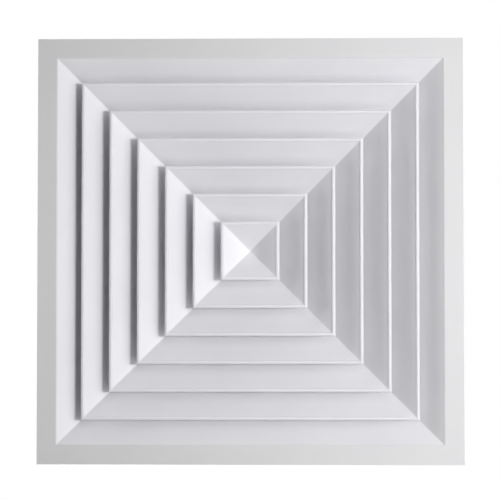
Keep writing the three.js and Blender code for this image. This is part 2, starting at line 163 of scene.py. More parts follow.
def on_slope(through, r):
    """Height at r of the sheet face that passes through a point."""
    return through[1] + (through[0] - r) * math.tan(SLOPE)


def frame_outline(face, neck_top):
    """Flange with its return and hooked key channel, slope, bend and neck."""
    inner, outer = KEY_CHANNEL["inner"] - GAP, KEY_CHANNEL["outer"] + GAP
    rib, hook, top = (KEY_CHANNEL[key] for key in ("rib", "hook", "top"))
    under = top - KEY_CHANNEL["hook_wall"]
    duct_side = (FLANGE_INNER, FRAME_WALL / math.cos(SLOPE))
    foot = duct_side[0] + (duct_side[1] - FLANGE_WALL) / math.tan(SLOPE)
    neck_outer = NECK_INNER + FRAME_WALL
    return fillet([
        (face, 0, 0.5),
        (face, RETURN_HEIGHT, 0.4),
        (face - FRAME_WALL, RETURN_HEIGHT, 0.4),
        (face - FRAME_WALL, FLANGE_WALL, 0.5),
        (outer + rib, FLANGE_WALL, 0.3),
        (outer + rib, top, 0.4),
        (outer - hook, top, 0.4),
        (outer - hook, under, 0.3),
        (outer, under, 0.2),
        (outer, FLANGE_WALL, 0.3),
        (inner, FLANGE_WALL, 0.3),
        (inner, under, 0.2),
        (inner + hook, under, 0.3),
        (inner + hook, top, 0.4),
        (inner - rib, top, 0.4),
        (inner - rib, FLANGE_WALL, 0.3),
        (foot, FLANGE_WALL, 2),
        (neck_outer, on_slope(duct_side, neck_outer), BEND_RADIUS - FRAME_WALL),
        (neck_outer, neck_top, 0.3),
        (NECK_INNER, neck_top, 0.3),
        (NECK_INNER, on_slope((FLANGE_INNER, 0), NECK_INNER), BEND_RADIUS),
        (FLANGE_INNER, 0, FLANGE_EASE),
    ])


def lip_arc(lip):
    """The bull-nosed lip, from the louvre's room side round to its duct side."""
    square = 1.5 * math.pi - SLOPE
    start = square - math.acos(LIP_TO_ROOM_FACE / LIP_RADIUS)
    end = square - math.acos(LIP_TO_DUCT_FACE / LIP_RADIUS) + 2 * math.pi
    return arc(lip - LIP_RADIUS, LIP_HEIGHT, LIP_RADIUS, start, end, LIP_STEPS)


def louvre_outline(lip, leg, leg_top):
    """Upright leg, bend, slope and lip; leg is where the upright's inner face stands."""
    bead = lip_arc(lip)
    leg_outer = leg + LOUVRE_WALL
    return fillet([
        (leg_outer, leg_top, 0.3),
        (leg, leg_top, 0.3),
        (leg, on_slope(bead[0], leg), BEND_RADIUS),
        *sharp(bead),
        (leg_outer, on_slope(bead[-1], leg_outer), BEND_RADIUS - LOUVRE_WALL),
    ])


def rail_outline(low, high):
    """Channel that opens inward, with a stop that rests on top of the neck."""
    inner, bottom, top = low.x, low.z, high.z
    wall, outer, stop, z = RAIL["wall"], RAIL["outer"], RAIL["stop"], RAIL["stop_z"]
    return fillet([
        (inner, bottom, 0.3),
        (outer, bottom, 1.6),
        (outer, z, 0.3),
        (stop, z, 0.4),
        (stop, z + wall, 0.4),
        (outer, z + wall, 0.4),
        (outer, top, 1.6),
        (inner, top, 0.3),
        (inner, top - wall, 0.3),
        (outer - wall, top - wall, 0.5),
        (outer - wall, bottom + wall, 0.5),
        (inner, bottom + wall, 0.3),
    ])


def blade_outline():
    """Damper blade lying flat: a plate with hemmed edges and a tube along its middle."""
    half, barrel = BLADE["half_chord"], BLADE["tube"]
    hem_inner, hem, plate = half - BLADE["hem"], BLADE["hem_wall"] / 2, BLADE["wall"] / 2
    meet = math.asin(plate / barrel)
    upper = [
        (half, -hem, hem * 0.95),
        (half, hem, hem * 0.95),
        (hem_inner, hem, 0.3),
        (hem_inner, plate, 0.2),
        *sharp(arc(0, 0, barrel, meet, math.pi - meet, 14)),
        (-hem_inner, plate, 0.2),
        (-hem_inner, hem, 0.3),
    ]
    return fillet(upper + [(-x, -y, radius) for x, y, radius in upper])


def crank_outline(up):
    """A hub on the blade's axis and a smaller end round the pin, above (1) or below (-1) it."""
    lean = math.asin((CRANK["hub"] - CRANK["tip"]) / CRANK["throw"])
    toward, spread = up * math.pi / 2, math.pi / 2 - lean
    around_hub = arc(0, 0, CRANK["hub"], toward + spread, toward - spread + 2 * math.pi, 16)
    tip = arc(0, up * CRANK["throw"], CRANK["tip"], toward - spread, toward + spread, 12)
    return around_hub + tip


def clip_spine(back, bow):
    """Middle line of a leaf clip: up from its foot, over, and down against the neck."""
    knots = [Vector(point) for point in (
        (back, 43.5), (back, 50), (back + 0.3, 54), (back + 2.4, 56),
        (back + 4.6, 54.6), (bow, 49.5), (bow - 1, 46), (bow - 4.2, 42),
    )]
    knots = [2 * knots[0] - knots[1], *knots, 2 * knots[-1] - knots[-2]]
    points, steps = [], 8
    for before, start, end, after in zip(knots, knots[1:], knots[2:], knots[3:]):
        leaving, arriving = (end - before) / 2, (after - start) / 2
        for k in range(steps):
            t = k / steps
            points.append(
                start * (2 * t**3 - 3 * t**2 + 1) + leaving * (t**3 - 2 * t**2 + t)
                + end * (3 * t**2 - 2 * t**3) + arriving * (t**3 - t**2)
            )
    return points + [knots[-2]]


def ribbon(spine, wall):
    """Outline of a strip of even wall that follows a middle line."""
    left, right = [], []
    for i, point in enumerate(spine):
        along = (spine[min(i + 1, len(spine) - 1)] - spine[max(i - 1, 0)]).normalized()
        across = Vector((-along.y, along.x)) * (wall / 2)
        left.append(point + across)
        right.append(point - across)
    return left + right[::-1]


# ---------------------------------------------------------------- solids

def to_object(name, bm):
    """The mesh as a new object in the scene."""
    mesh = bpy.data.meshes.new(name)
    bm.to_mesh(mesh)
    bm.free()
    solid = bpy.data.objects.new(name, mesh)
    bpy.context.scene.collection.objects.link(solid)
    return solid


def loft(name, rings):
    """A closed solid through rings of points; a ring on one point makes a tip."""
    bm = bmesh.new()
    rows = [[bm.verts.new(Vector(point) * MM) for point in ring] for ring in rings]
    count = len(rows[0])
    for near, far in zip(rows, rows[1:]):
        for i in range(count):
            j = (i + 1) % count
            bm.faces.new((near[i], near[j], far[j], far[i]))
    bm.faces.new(rows[0])
    bm.faces.new(rows[-1])
    bmesh.ops.remove_doubles(bm, verts=bm.verts, dist=1e-7)
    bmesh.ops.recalc_face_normals(bm, faces=bm.faces)
    return to_object(name, bm)


def mitred_bar(name, outline, gap):
    """A bar along the +X side whose ends are cut at 45 degrees."""
    return loft(name, [[(p.x, end * (p.x - gap), p.y) for p in outline] for end in (-1, 1)])


def extruded(name, outline, low, high, axis):
    """An outline carried along an axis; its own plane keeps the order of the other two."""
    place = {
        "X": lambda p, w: (w, p.x, p.y),
        "Y": lambda p, w: (p.x, w, p.y),
        "Z": lambda p, w: (p.x, p.y, w),
    }[axis]
    return loft(name, [[place(p, w) for p in outline] for w in (low, high)])


def round_bar(name, profile, axis, centre=(0, 0, 0), count=32):
    """A solid of revolution about an axis, from its (place along the axis, radius) points."""
    turned = {
        "X": lambda w, u, v: (w, u, v),
        "Y": lambda w, u, v: (u, w, v),
        "Z": lambda w, u, v: (u, v, w),
    }[axis]
    rings = []
    for w, radius in profile:
        circle = arc(0, 0, radius, 0, 2 * math.pi, count)[:-1]
        rings.append([Vector(turned(w, p.x, p.y)) + Vector(centre) for p in circle])
    return loft(name, rings)


def tube(name, section, centre, count=32):
    """A ring about an axis along X, from its closed section of (x, radius) points."""
    bm = bmesh.new()
    rows = []
    for x, radius in section:
        circle = arc(0, 0, radius, 0, 2 * math.pi, count)[:-1]
        rows.append([bm.verts.new((Vector((x, p.x, p.y)) + Vector(centre)) * MM) for p in circle])
    for near, far in zip(rows, rows[1:] + rows[:1]):
        for i in range(count):
            j = (i + 1) % count
            bm.faces.new((near[i], near[j], far[j], far[i]))
    bmesh.ops.recalc_face_normals(bm, faces=bm.faces)
    return to_object(name, bm)


def squared(name, outline):
    """A square solid about Z, from the section of its +X side, tip to tip."""
    quarter = ((1, -1), (1, 1), (-1, 1), (-1, -1))
    return loft(name, [[(p.x * u, p.x * v, p.y) for u, v in quarter] for p in outline])


def merged(solids):
    """The solids' meshes in the first one."""
    bm = bmesh.new()
    for solid in solids:
        bm.from_mesh(solid.data)
    bm.to_mesh(solids[0].data)
    bm.free()
    for solid in solids[1:]:
        bpy.data.objects.remove(solid)
    return solids[0]


def combine(solid, tools, operation):
    """Joins the tools on (UNION), cuts them away (DIFFERENCE) or keeps what they share (INTERSECT)."""
    tool = merged(tools)
    modifier = solid.modifiers.new(operation, "BOOLEAN")
    modifier.operation = operation
    modifier.solver = "EXACT"
    modifier.use_self = len(tools) > 1
    modifier.object = tool
    bpy.context.view_layer.update()
    result = solid.evaluated_get(bpy.context.evaluated_depsgraph_get())
    solid.data = bpy.data.meshes.new_from_object(result)
    solid.modifiers.clear()
    bpy.data.objects.remove(tool)


def soften(solid, width):
    """Rounds every sharp edge of a solid."""
    bm = bmesh.new()
    bm.from_mesh(solid.data)
    least = math.radians(SOFTENED_FROM)
    edges = [edge for edge in bm.edges if edge.is_manifold and edge.calc_face_angle() > least]
    bmesh.ops.bevel(
        bm, geom=edges, offset=width * MM, offset_type="OFFSET", segments=2,
        profile=0.5, affect="EDGES", clamp_overlap=True,
    )
    bm.to_mesh(solid.data)
    bm.free()
    return solid


def turn_about_z(solid, degrees):
    """Turns a solid that was made on the +X side to its own side."""
    solid.data.transform(Matrix.Rotation(math.radians(degrees), 4, "Z"))


def copied(solid, name, offset):
    """A copy with a mesh of its own, moved by so many millimetres."""
    twin = solid.copy()
    twin.name = name
    twin.data = solid.data.copy()
    twin.data.transform(Matrix.Translation(Vector(offset) * MM))
    bpy.context.scene.collection.objects.link(twin)
    return twin


def finish(solid, material, body, stands_for=()):
    """Shades a solid, gives it its material, and makes it ride on its CAD body."""
    mesh = solid.data
    mesh.materials.clear()
    mesh.materials.append(material)
    mesh.shade_smooth()
    mesh.set_sharp_from_angle(angle=math.radians(SHARP_FROM))
    weighted = solid.modifiers.new("weighted normals", "WEIGHTED_NORMAL")
    weighted.keep_sharp = True
    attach(solid, body)
    if stands_for:
        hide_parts(*stands_for)


# ---------------------------------------------------------------- materials

def socket(sockets, key):
    """A socket by its place or by its name, where only the socket in use counts."""
    if isinstance(key, int):
        return sockets[key]
    return next(found for found in sockets if found.name == key and found.enabled)


def add_node(tree, kind, inputs, settings):
    """A node with its settings, and its inputs linked to other nodes or set to values."""
    node = tree.nodes.new(kind)
    for key, value in settings.items():
        setattr(node, key, value)
    for key, value in inputs.items():
        target = socket(node.inputs, key)
        if isinstance(value, bpy.types.NodeSocket):
            tree.links.new(value, target)
        else:
            target.default_value = value
    return node


class Finish:
    """A Principled material and the nodes that feed it."""

    def __init__(self, name, **values):
        self.material = bpy.data.materials.new(name)
        self.material.use_nodes = True
        self.tree = self.material.node_tree
        self.shader = self.tree.nodes["Principled BSDF"]
        for key, value in values.items():
            self.shader_input(key).default_value = value
        self.coords = self.add("ShaderNodeTexCoord").outputs["Object"]

    def shader_input(self, key):
        """An input of the shader, by its name in small letters with underscores."""
        return self.shader.inputs[key.replace("_", " ").title().replace("Ior", "IOR")]

    def add(self, kind, inputs=None, **settings):
        """A node of this material."""
        return add_node(self.tree, kind, inputs or {}, settings)

    def mixed(self, data_type, factor, first, second):
        """Two vectors (VECTOR) or two colours (RGBA), mixed by a factor from 0 to 1."""
        inputs = {"Factor": factor, "A": first, "B": second}
        node = self.add("ShaderNodeMix", inputs, data_type=data_type)
        return socket(node.outputs, "Result")

    def stretched(self, scale):
        """Object coordinates scaled by axis, for grain that runs one way."""
        return self.add("ShaderNodeMapping", {"Vector": self.coords, "Scale": scale}).outputs[0]

    def noise(self, scale, detail=2.0, roughness=0.5, vector=None):
        """Noise with features about 1 / scale metres across."""
        inputs = {"Vector": vector or self.coords, "Scale": scale, "Detail": detail}
        inputs["Roughness"] = roughness
        return self.add("ShaderNodeTexNoise", inputs).outputs["Fac"]

    def remap(self, value, low, high, source=(0.3, 0.7)):
        """A value carried from its source range to another, and held there at both ends."""
        inputs = {"Value": value, "From Min": source[0], "From Max": source[1]}
        inputs.update({"To Min": low, "To Max": high})
        return self.add("ShaderNodeMapRange", inputs).outputs["Result"]

    def blend(self, value, dark, light):
        """A colour between two, by a value from 0 to 1."""
        ramp = self.add("ShaderNodeValToRGB", {"Fac": value})
        ramp.color_ramp.elements[0].color = (*dark, 1)
        ramp.color_ramp.elements[1].color = (*light, 1)
        return ramp.outputs["Color"]

    def bump(self, height, depth_mm, under=None):
        """Relief so many millimetres deep, over any relief under it."""
        inputs = {"Height": height, "Strength": 1.0, "Distance": depth_mm * MM}
        if under:
            inputs["Normal"] = under
        return self.add("ShaderNodeBump", inputs).outputs["Normal"]

    def feed(self, **outputs):
        """Links outputs of nodes to the shader's inputs, and gives the material."""
        for key, output in outputs.items():
            self.tree.links.new(output, self.shader_input(key))
        return self.material


def white_coat(name, painted_flange_shade=False):
    """White polyester powder coat: fine orange peel over a flat, faintly cool white.

    The flat flange can be given painted shade: its white is painted a shade greyer, standing in for
    the lesser light on the flat face.
    """
    coat = Finish(name, specular_ior_level=0.45)
    cloud = coat.noise(14, detail=4, roughness=0.6)
    speck = coat.noise(700, detail=1)
    tone = coat.blend(coat.remap(cloud, 0.0, 1.0), (0.868, 0.864, 0.898), (0.892, 0.888, 0.915))
    if painted_flange_shade:
        # Painted shade: the flat flange's face, up to 1.6 mm high, is mixed to a greyer white.
        height = coat.add("ShaderNodeSeparateXYZ", {"Vector": coat.coords}).outputs["Z"]
        above_flange = coat.remap(height, 0.0, 1.0, (0.0, 0.0016))
        flange_shade_tone = coat.blend(coat.remap(cloud, 0.0, 1.0), (0.752, 0.752, 0.764), (0.772, 0.772, 0.782))
        tone = coat.mixed("RGBA", above_flange, flange_shade_tone, tone)
    peel = coat.bump(coat.noise(750, detail=2), 0.006)
    relief = coat.bump(coat.noise(160, detail=1), 0.012, under=peel)
    return coat.feed(base_color=tone, roughness=coat.remap(speck, 0.42, 0.56), normal=relief)


def galvanised():
    """Hot-dip zinc on sheet steel: overlapping crystals, each with its own brightness."""
    zinc = Finish("galvanised_sheet", metallic=1.0)
    wobble = zinc.add("ShaderNodeTexNoise", {"Vector": zinc.coords, "Scale": 90.0}).outputs["Color"]
    warped = zinc.mixed("VECTOR", 0.004, zinc.coords, wobble)
    crystal = zinc.add("ShaderNodeTexVoronoi", {"Vector": warped, "Scale": 130.0}).outputs["Color"]
    shade = zinc.add("ShaderNodeSeparateColor", {"Color": crystal}).outputs["Red"]
    frost = zinc.noise(420, detail=3)
    mottle = zinc.add("ShaderNodeMath", {0: shade, 1: frost}, operation="MULTIPLY").outputs[0]
    tone = zinc.blend(zinc.remap(mottle, 0.0, 1.0, (0.0, 0.6)), (0.40, 0.42, 0.44), (0.66, 0.68, 0.70))
    relief = zinc.bump(shade, 0.01, under=zinc.bump(frost, 0.004))
    return zinc.feed(
        base_color=tone, roughness=zinc.remap(shade, 0.32, 0.52, (0.0, 1.0)), normal=relief,
    )


def black_paint():
    """Matt black stoving paint with a fine dry texture."""
    paint = Finish("matt_black_paint", specular_ior_level=0.35)
    grain = paint.noise(900, detail=3, roughness=0.7)
    cloud = paint.noise(25, detail=3)
    tone = paint.blend(paint.remap(cloud, 0.0, 1.0), (0.0085, 0.0088, 0.0095), (0.016, 0.0163, 0.017))
    return paint.feed(
        base_color=tone, roughness=paint.remap(grain, 0.55, 0.72), normal=paint.bump(grain, 0.012),
    )


def spring_steel():
    """Tempered strip, with a rolled grain and a slight heat tint."""
    steel = Finish("spring_steel", metallic=1.0)
    grain = steel.noise(1400, detail=2, vector=steel.stretched((1, 1, 0.06)))
    heat = steel.noise(60, detail=1)
    tone = steel.blend(steel.remap(heat, 0.0, 1.0), (0.24, 0.25, 0.29), (0.38, 0.36, 0.33))
    return steel.feed(
        base_color=tone, roughness=steel.remap(grain, 0.2, 0.38), normal=steel.bump(grain, 0.003),
    )


def bright_zinc():
    """Bright zinc plate on fasteners."""
    plate = Finish("bright_zinc_plate", metallic=1.0)
    haze = plate.noise(300, detail=3)
    tone = plate.blend(plate.remap(haze, 0.0, 1.0), (0.56, 0.58, 0.60), (0.72, 0.73, 0.74))
    return plate.feed(
        base_color=tone, roughness=plate.remap(haze, 0.2, 0.36), normal=plate.bump(haze, 0.004),
    )


def nylon():
    """Natural nylon of the damper's journal bushes."""
    plastic = Finish("natural_nylon", subsurface_weight=0.15, subsurface_scale=0.002)
    haze = plastic.noise(260, detail=2)
    tone = plastic.blend(plastic.remap(haze, 0.0, 1.0), (0.68, 0.65, 0.56), (0.76, 0.73, 0.65))
    return plastic.feed(
        base_color=tone, roughness=plastic.remap(haze, 0.38, 0.5), normal=plastic.bump(haze, 0.01),
    )


def pale_floor():
    """Matt plaster under the object."""
    plaster = Finish("pale_floor", specular_ior_level=0.2)
    cloud = plaster.noise(1.3, detail=5)
    tone = plaster.blend(plaster.remap(cloud, 0.0, 1.0), (0.79, 0.79, 0.79), (0.82, 0.82, 0.82))
    return plaster.feed(base_color=tone, roughness=plaster.remap(cloud, 0.7, 0.8))


CORE_COAT = white_coat("core_powder_coat")
# The frame's coat carries painted shade on its flat flange.
FRAME_COAT = white_coat("frame_powder_coat", painted_flange_shade=True)
ZINC_SHEET = galvanised()
BLACK = black_paint()
SPRING = spring_steel()
PLATE = bright_zinc()
NYLON = nylon()


# ---------------------------------------------------------------- frame

def neck_screw_holes(reach):
    """Cutters for a side's two damper screws, at the +X side."""
    through = [(NECK_SCREW["tip"], SCREW_HOLE), (reach, SCREW_HOLE)]
    places = [(0, end * NECK_SCREW["along"], NECK_SCREW["z"]) for end in (-1, 1)]
    return [round_bar("hole", through, "X", place, 24) for place in places]


def make_frame_side(side, degrees):
    """Flange, slope and neck in one mitred bar, drilled for the damper screws front and rear."""
    high = extent("frame_side_right")[1]
    bar = mitred_bar(f"frame_{side}", frame_outline(high.x, high.z), HAIRLINE)
    if side in ("front", "rear"):
        combine(bar, neck_screw_holes(NECK_INNER + 2 * FRAME_WALL), "DIFFERENCE")
    turn_about_z(bar, degrees)
    finish(bar, FRAME_COAT, "frame", [f"frame_side_{side}"])


def make_corner_key(number, degrees):
    """L plate in the key channels, staked into both sides by punched dimples."""
    node = f"frame_corner_key_{number}"
    low, high = extent("frame_corner_key_1")
    inner, outer = KEY_CHANNEL["inner"], KEY_CHANNEL["outer"]
    end = outer - KEY_LEG
    outline = fillet([
        (outer, outer, 1.5), (end, outer, 1.5), (end, inner, 1.5),
        (inner, inner, 0.8), (inner, end, 1.5), (outer, end, 1.5),
    ])
    key = soften(extruded(node + "_plate", outline, low.z, high.z, "Z"), 0.35)
    middle, floor = (inner + outer) / 2, high.z - KEY_DIMPLE["depth"]
    dimple = [(floor, 0), (floor + 0.1, 0.6), (high.z + 0.3, KEY_DIMPLE["radius"])]
    dimples = [
        round_bar("dimple", dimple, "Z", place, 20)
        for along in KEY_DIMPLE["places"]
        for place in ((end + along, middle, 0), (middle, end + along, 0))
    ]
    combine(key, dimples, "DIFFERENCE")
    turn_about_z(key, degrees)
    finish(key, ZINC_SHEET, "frame", [node])


# ---------------------------------------------------------------- core

def make_louvre(ring, side, degrees):
    """One side of a louvre ring; ring 1 is the outermost."""
    node = f"louvre_{ring}_{side}"
    low, high = extent(f"louvre_{ring}_right")
    bar = mitred_bar(node + "_bar", louvre_outline(high.x, low.x, high.z), HAIRLINE)
    turn_about_z(bar, degrees)
    finish(bar, CORE_COAT, "core", [node])


def make_centre_cone():
    """Recessed pyramid of folded sheet, with the louvres' lip round it."""
    lip = extent("centre_cone")[1].x
    bead = lip_arc(lip)
    under, over = (Vector((0, on_slope(bead[end], 0))) for end in (0, -1))
    cone = squared("centre_cone_sheet", [under, *bead, over])
    finish(cone, CORE_COAT, "core", ["centre_cone"])


def leg_places():
    """Middles of the louvres' upright legs."""
    inner_faces = [extent(f"louvre_{ring + 1}_right")[0].x for ring in range(LOUVRE_COUNT)]
    return [face + LOUVRE_WALL / 2 for face in inner_faces]


def make_cross_bar(node, halved_from_above, degrees):
    """Strap with an end bent over for each clip, notched over the legs and halved."""
    low, high = extent("cross_bar_lower")
    reach, foot, wall = high.x, high.y, BAR_WALL
    outline = fillet([
        (reach, -wall / 2, 2.6), (reach, foot, 1.5), (reach - wall, foot, 0.3),
        (reach - wall, wall / 2, 0.8), (-reach, wall / 2, 2.6), (-reach, -foot, 1.5),
        (-reach + wall, -foot, 0.3), (-reach + wall, -wall / 2, 0.8),
    ])
    bar = soften(extruded(node + "_strap", outline, low.z, high.z, "Z"), 0.25)
    clear, leg_top = LOUVRE_WALL / 2 + GAP, extent("louvre_1_right")[1].z
    notch = rectangle(-clear, low.z - 1, clear, leg_top + GAP, 0.25)
    half = wall / 2 + GAP
    if halved_from_above:
        halving = rectangle(-half, BAR_CROSSING - GAP / 2, half, high.z + 1, 0.25)
    else:
        halving = rectangle(-half, low.z - 1, half, BAR_CROSSING + GAP / 2, 0.25)
    cutters = [extruded("halving", halving, -wall, wall, "Y")]
    for x in leg_places():
        for place in (x, -x):
            shifted = [p + Vector((place, 0)) for p in notch]
            cutters.append(extruded("notch", shifted, -wall, wall, "Y"))
    hole = RIVET["radius"] + GAP
    for end in (1, -1):
        centre = (end * (reach - wall / 2), end * (foot - wall / 2) / 2, RIVET["z"])
        cutters.append(round_bar("hole", [(-wall, hole), (wall, hole)], "X", centre, 24))
    combine(bar, cutters, "DIFFERENCE")
    turn_about_z(bar, degrees)
    finish(bar, ZINC_SHEET, "core", [node])


def make_centre_post():
    """Round post that seats on the cone's peak, slotted from above for both bars."""
    low, high = extent("centre_post")
    chamfer = 0.6
    profile = [
        (low.z, POST_RADIUS - chamfer), (low.z + chamfer, POST_RADIUS),
        (high.z - chamfer, POST_RADIUS), (high.z, POST_RADIUS - chamfer),
    ]
    post = round_bar("centre_post_turned", profile, "Z", count=64)
    bead = lip_arc(extent("centre_cone")[1].x)
    apex = on_slope(bead[-1], 0) + GAP / math.cos(SLOPE)
    pyramid = [Vector((0, 0)), Vector((apex / math.tan(SLOPE), 0)), Vector((0, apex))]
    combine(post, [squared("recess", pyramid)], "DIFFERENCE")
    bar_low = extent("cross_bar_lower")[0]
    half, reach = BAR_WALL / 2 + GAP, 2 * POST_RADIUS
    slot = rectangle(-half, bar_low.z - GAP, half, high.z + 1)
    for axis in ("Y", "X"):
        combine(post, [extruded("slot", slot, -reach, reach, axis)], "DIFFERENCE")
    finish(soften(post, 0.2), ZINC_SHEET, "core", ["centre_post"])


def make_core_clip(side, degrees):
    """Leaf clip on a bar's foot, bowed against the neck."""
    low, high = extent("core_clip_right")
    middle = (low.y + high.y) / 2
    wall, half = CLIP["wall"], CLIP["width"] / 2
    back, bow = low.x + wall / 2, NECK_INNER - GAP - wall / 2
    leaf = ribbon(clip_spine(back, bow), wall)
    clip = extruded(f"core_clip_{side}_leaf", leaf, middle - half, middle + half, "Y")
    soften(clip, 0.18)
    hole = RIVET["radius"] + GAP
    through = [(back - 1, hole), (back + 1, hole)]
    combine(clip, [round_bar("hole", through, "X", (0, middle, RIVET["z"]), 24)], "DIFFERENCE")
    turn_about_z(clip, degrees)
    finish(clip, SPRING, "core", [f"core_clip_{side}"])


def make_clip_rivet(side, degrees):
    """Rivet with two domed heads, through a clip and the bar's foot behind it."""
    low, high = extent("core_clip_right")
    centre = (0, (low.y + high.y) / 2, RIVET["z"])
    inner, outer = low.x - BAR_WALL - 2 * GAP, low.x + CLIP["wall"] + GAP
    head, height, shank = RIVET["head"], RIVET["height"], RIVET["radius"]
    profile = [(inner - height * w, head * r) for w, r in RIVET_DOME]
    profile += [(inner, shank), (outer, shank)]
    profile += [(outer + height * w, head * r) for w, r in reversed(RIVET_DOME)]
    rivet = round_bar(f"clip_rivet_{side}_domed", profile, "X", centre, 32)
    turn_about_z(rivet, degrees)
    finish(rivet, PLATE, "core", [f"clip_rivet_{side}"])


# ---------------------------------------------------------------- damper

def blade_axes():
    """Places along X of the damper blades' axes."""
    boxes = [extent(f"damper_blade_{i + 1}") for i in range(BLADE_COUNT)]
    return [(low.x + high.x) / 2 for low, high in boxes]


def crank_side(index):
    """Blades take turns: the crank pin stands above the axis (1), then hangs below it (-1)."""
    return 1 if index % 2 == 0 else -1


def make_damper_rail(side, degrees):
    """Channel of the damper's frame, bored for the blades' journals front and rear."""
    low, high = extent("damper_rail_right")
    rail = mitred_bar(f"damper_rail_{side}_channel", rail_outline(low, high), RAIL_MITRE)
    if side in ("front", "rear"):
        outer = RAIL["outer"]
        cutters = neck_screw_holes(outer + 1)
        hole = [(outer - 3, JOURNAL["hole"]), (outer + 1, JOURNAL["hole"])]
        cutters += [round_bar("hole", hole, "X", (0, y, BLADE_AXIS_Z), 32) for y in blade_axes()]
        if side == "front":
            near, far, half = LEVER_SLOT["near"], LEVER_SLOT["far"], LEVER_SLOT["half"]
            slot = rectangle(near, LEVER["x"] - half, far, LEVER["x"] + half, 1)
            cutters.append(extruded("slot", slot, low.z - 1, low.z + 3, "Z"))
        combine(rail, cutters, "DIFFERENCE")
    turn_about_z(rail, degrees)
    finish(rail, ZINC_SHEET, "frame", [f"damper_rail_{side}"])


def make_journal_bush(side, number, along):
    """Nylon bush in a rail's journal hole, with its flange outside the rail."""
    seat, flange, edge = RAIL["outer"], BUSH["flange"], BUSH["edge"]
    inner_end, outer_end = seat - RAIL["wall"] - BUSH["inside"], seat + BUSH["thickness"]
    bore, sleeve = JOURNAL["radius"] + BUSH["bore_play"], JOURNAL["hole"] - BUSH["fit"]
    section = [
        (inner_end, bore), (inner_end, sleeve - 0.1), (inner_end + 0.3, sleeve), (seat, sleeve),
        (seat, flange - edge), (seat + edge, flange), (outer_end - edge, flange),
        (outer_end, flange - 0.2), (outer_end, bore + 0.2), (outer_end - 0.2, bore),
    ]
    bush = tube(f"journal_bush_{side}_{number}", section, (0, along, BLADE_AXIS_Z))
    turn_about_z(bush, SIDES[side])
    finish(bush, NYLON, "frame")


def plus_outline(reach, half):
    """A cross of four equal arms."""
    quarter = [Vector((reach, -half)), Vector((reach, half)), Vector((half, half))]
    return [Matrix.Rotation(k * math.pi / 2, 2) @ p for k in range(4) for p in quarter]


def make_damper_screw(number, side, along):
    """Pan-head self-tapping screw with a cross recess, through the neck into a rail."""
    seat = NECK_INNER + FRAME_WALL + GAP
    head, height, shank = NECK_SCREW["head"], NECK_SCREW["height"], NECK_SCREW["shank"]
    centre = Vector((0, along, NECK_SCREW["z"]))

    pitch, root = SCREW_THREAD["pitch"], shank * SCREW_THREAD["root"]
    profile = [(NECK_SCREW["tip"], 0.5)]
    turn = NECK_SCREW["tip"] + 0.5
    while turn < seat - pitch:
        profile += [(turn, root), (turn + pitch * 0.35, shank), (turn + pitch * 0.5, shank)]
        turn += pitch

    edge, rim = 0.15, 0.9
    profile += [(seat, shank * SCREW_THREAD["runout"]), (seat, head - edge), (seat + edge, head)]
    for k in range(1, 9):
        angle = math.radians(10 * k)
        rise = rim + (height - rim) * math.sin(angle)
        profile.append((seat + rise, head * math.cos(angle) ** 0.6))
    screw = round_bar(f"damper_screw_{number}_pan", profile, "X", centre, 32)

    top = seat + height
    rings = [
        [Vector((top + above, p.x, p.y)) + centre for p in plus_outline(reach, half)]
        for above, reach, half in SCREW_RECESS
    ]
    combine(screw, [loft("recess", rings)], "DIFFERENCE")
    turn_about_z(screw, SIDES[side])
    finish(screw, PLATE, "frame", [f"damper_screw_{number}"])


def damper_blade(up):
    """A blade about its own axis at the origin, with its crank, pin, push nut and journals."""
    half, near, far = BLADE["half_length"], CRANK["near"], CRANK["far"]
    blade = extruded("blade", blade_outline(), -half, half, "Y")
    blade.data.transform(Matrix.Rotation(-up * BLADE_REST, 4, "Y"))
    crank = soften(extruded("crank", crank_outline(up), -far, -near, "Y"), 0.3)
    combine(blade, [crank], "UNION")

    end, radius, chamfer = JOURNAL["end"], JOURNAL["radius"], JOURNAL["chamfer"]
    front = [(-end, radius - chamfer), (-end + chamfer, radius), (-near, radius)]
    rear = [(near, radius), (end - chamfer, radius), (end, radius - chamfer)]
    hub = [(near, CRANK["hub"]), (far - 1.3, CRANK["hub"]), (far - 1, CRANK["hub"] - 0.3)]
    end, radius, chamfer = PIN["end"], PIN["radius"], PIN["chamfer"]
    pin = [(-end, radius - chamfer), (-end + chamfer, radius), (-near, radius)]
    nut = [(-end + along, outer) for along, outer in PUSH_NUT]
    axis, pin_axis = (0, 0, 0), (0, 0, up * CRANK["throw"])
    for name, profile, centre in (
        ("pin", pin, pin_axis), ("front", front, axis), ("hub", hub, axis),
        ("rear", rear, axis), ("nut", nut, pin_axis),
    ):
        combine(blade, [round_bar(name, profile, "Y", centre, 32)], "UNION")
    return blade


def make_damper_blades():
    """The blades, from one model for each way that a crank pin stands."""
    models = {up: damper_blade(up) for up in (1, -1)}
    for i, x in enumerate(blade_axes()):
        node = f"damper_blade_{i + 1}"
        blade = copied(models[crank_side(i)], node + "_hemmed", (x, 0, BLADE_AXIS_Z))
        finish(blade, BLACK, f"blade_{i + 1}", [node])
    for model in models.values():
        bpy.data.objects.remove(model)


def window_outline(x, up):
    """A window for a blade's journal, opened into a slot for its crank pin."""
    half, tall = LINK_WINDOW["half"], LINK_WINDOW["half_height"]
    slot, past = LINK_SLOT["half"], CRANK["throw"] + LINK_SLOT["past"]
    corners = [
        (half, -tall, 1.2), (half, tall, 1.2), (slot, tall, 0.8), (slot, past, 2.0),
        (-slot, past, 2.0), (-slot, tall, 0.8), (-half, tall, 1.2), (-half, -tall, 1.2),
    ]
    return [Vector((x + p.x, BLADE_AXIS_Z + up * p.y)) for p in fillet(corners)]


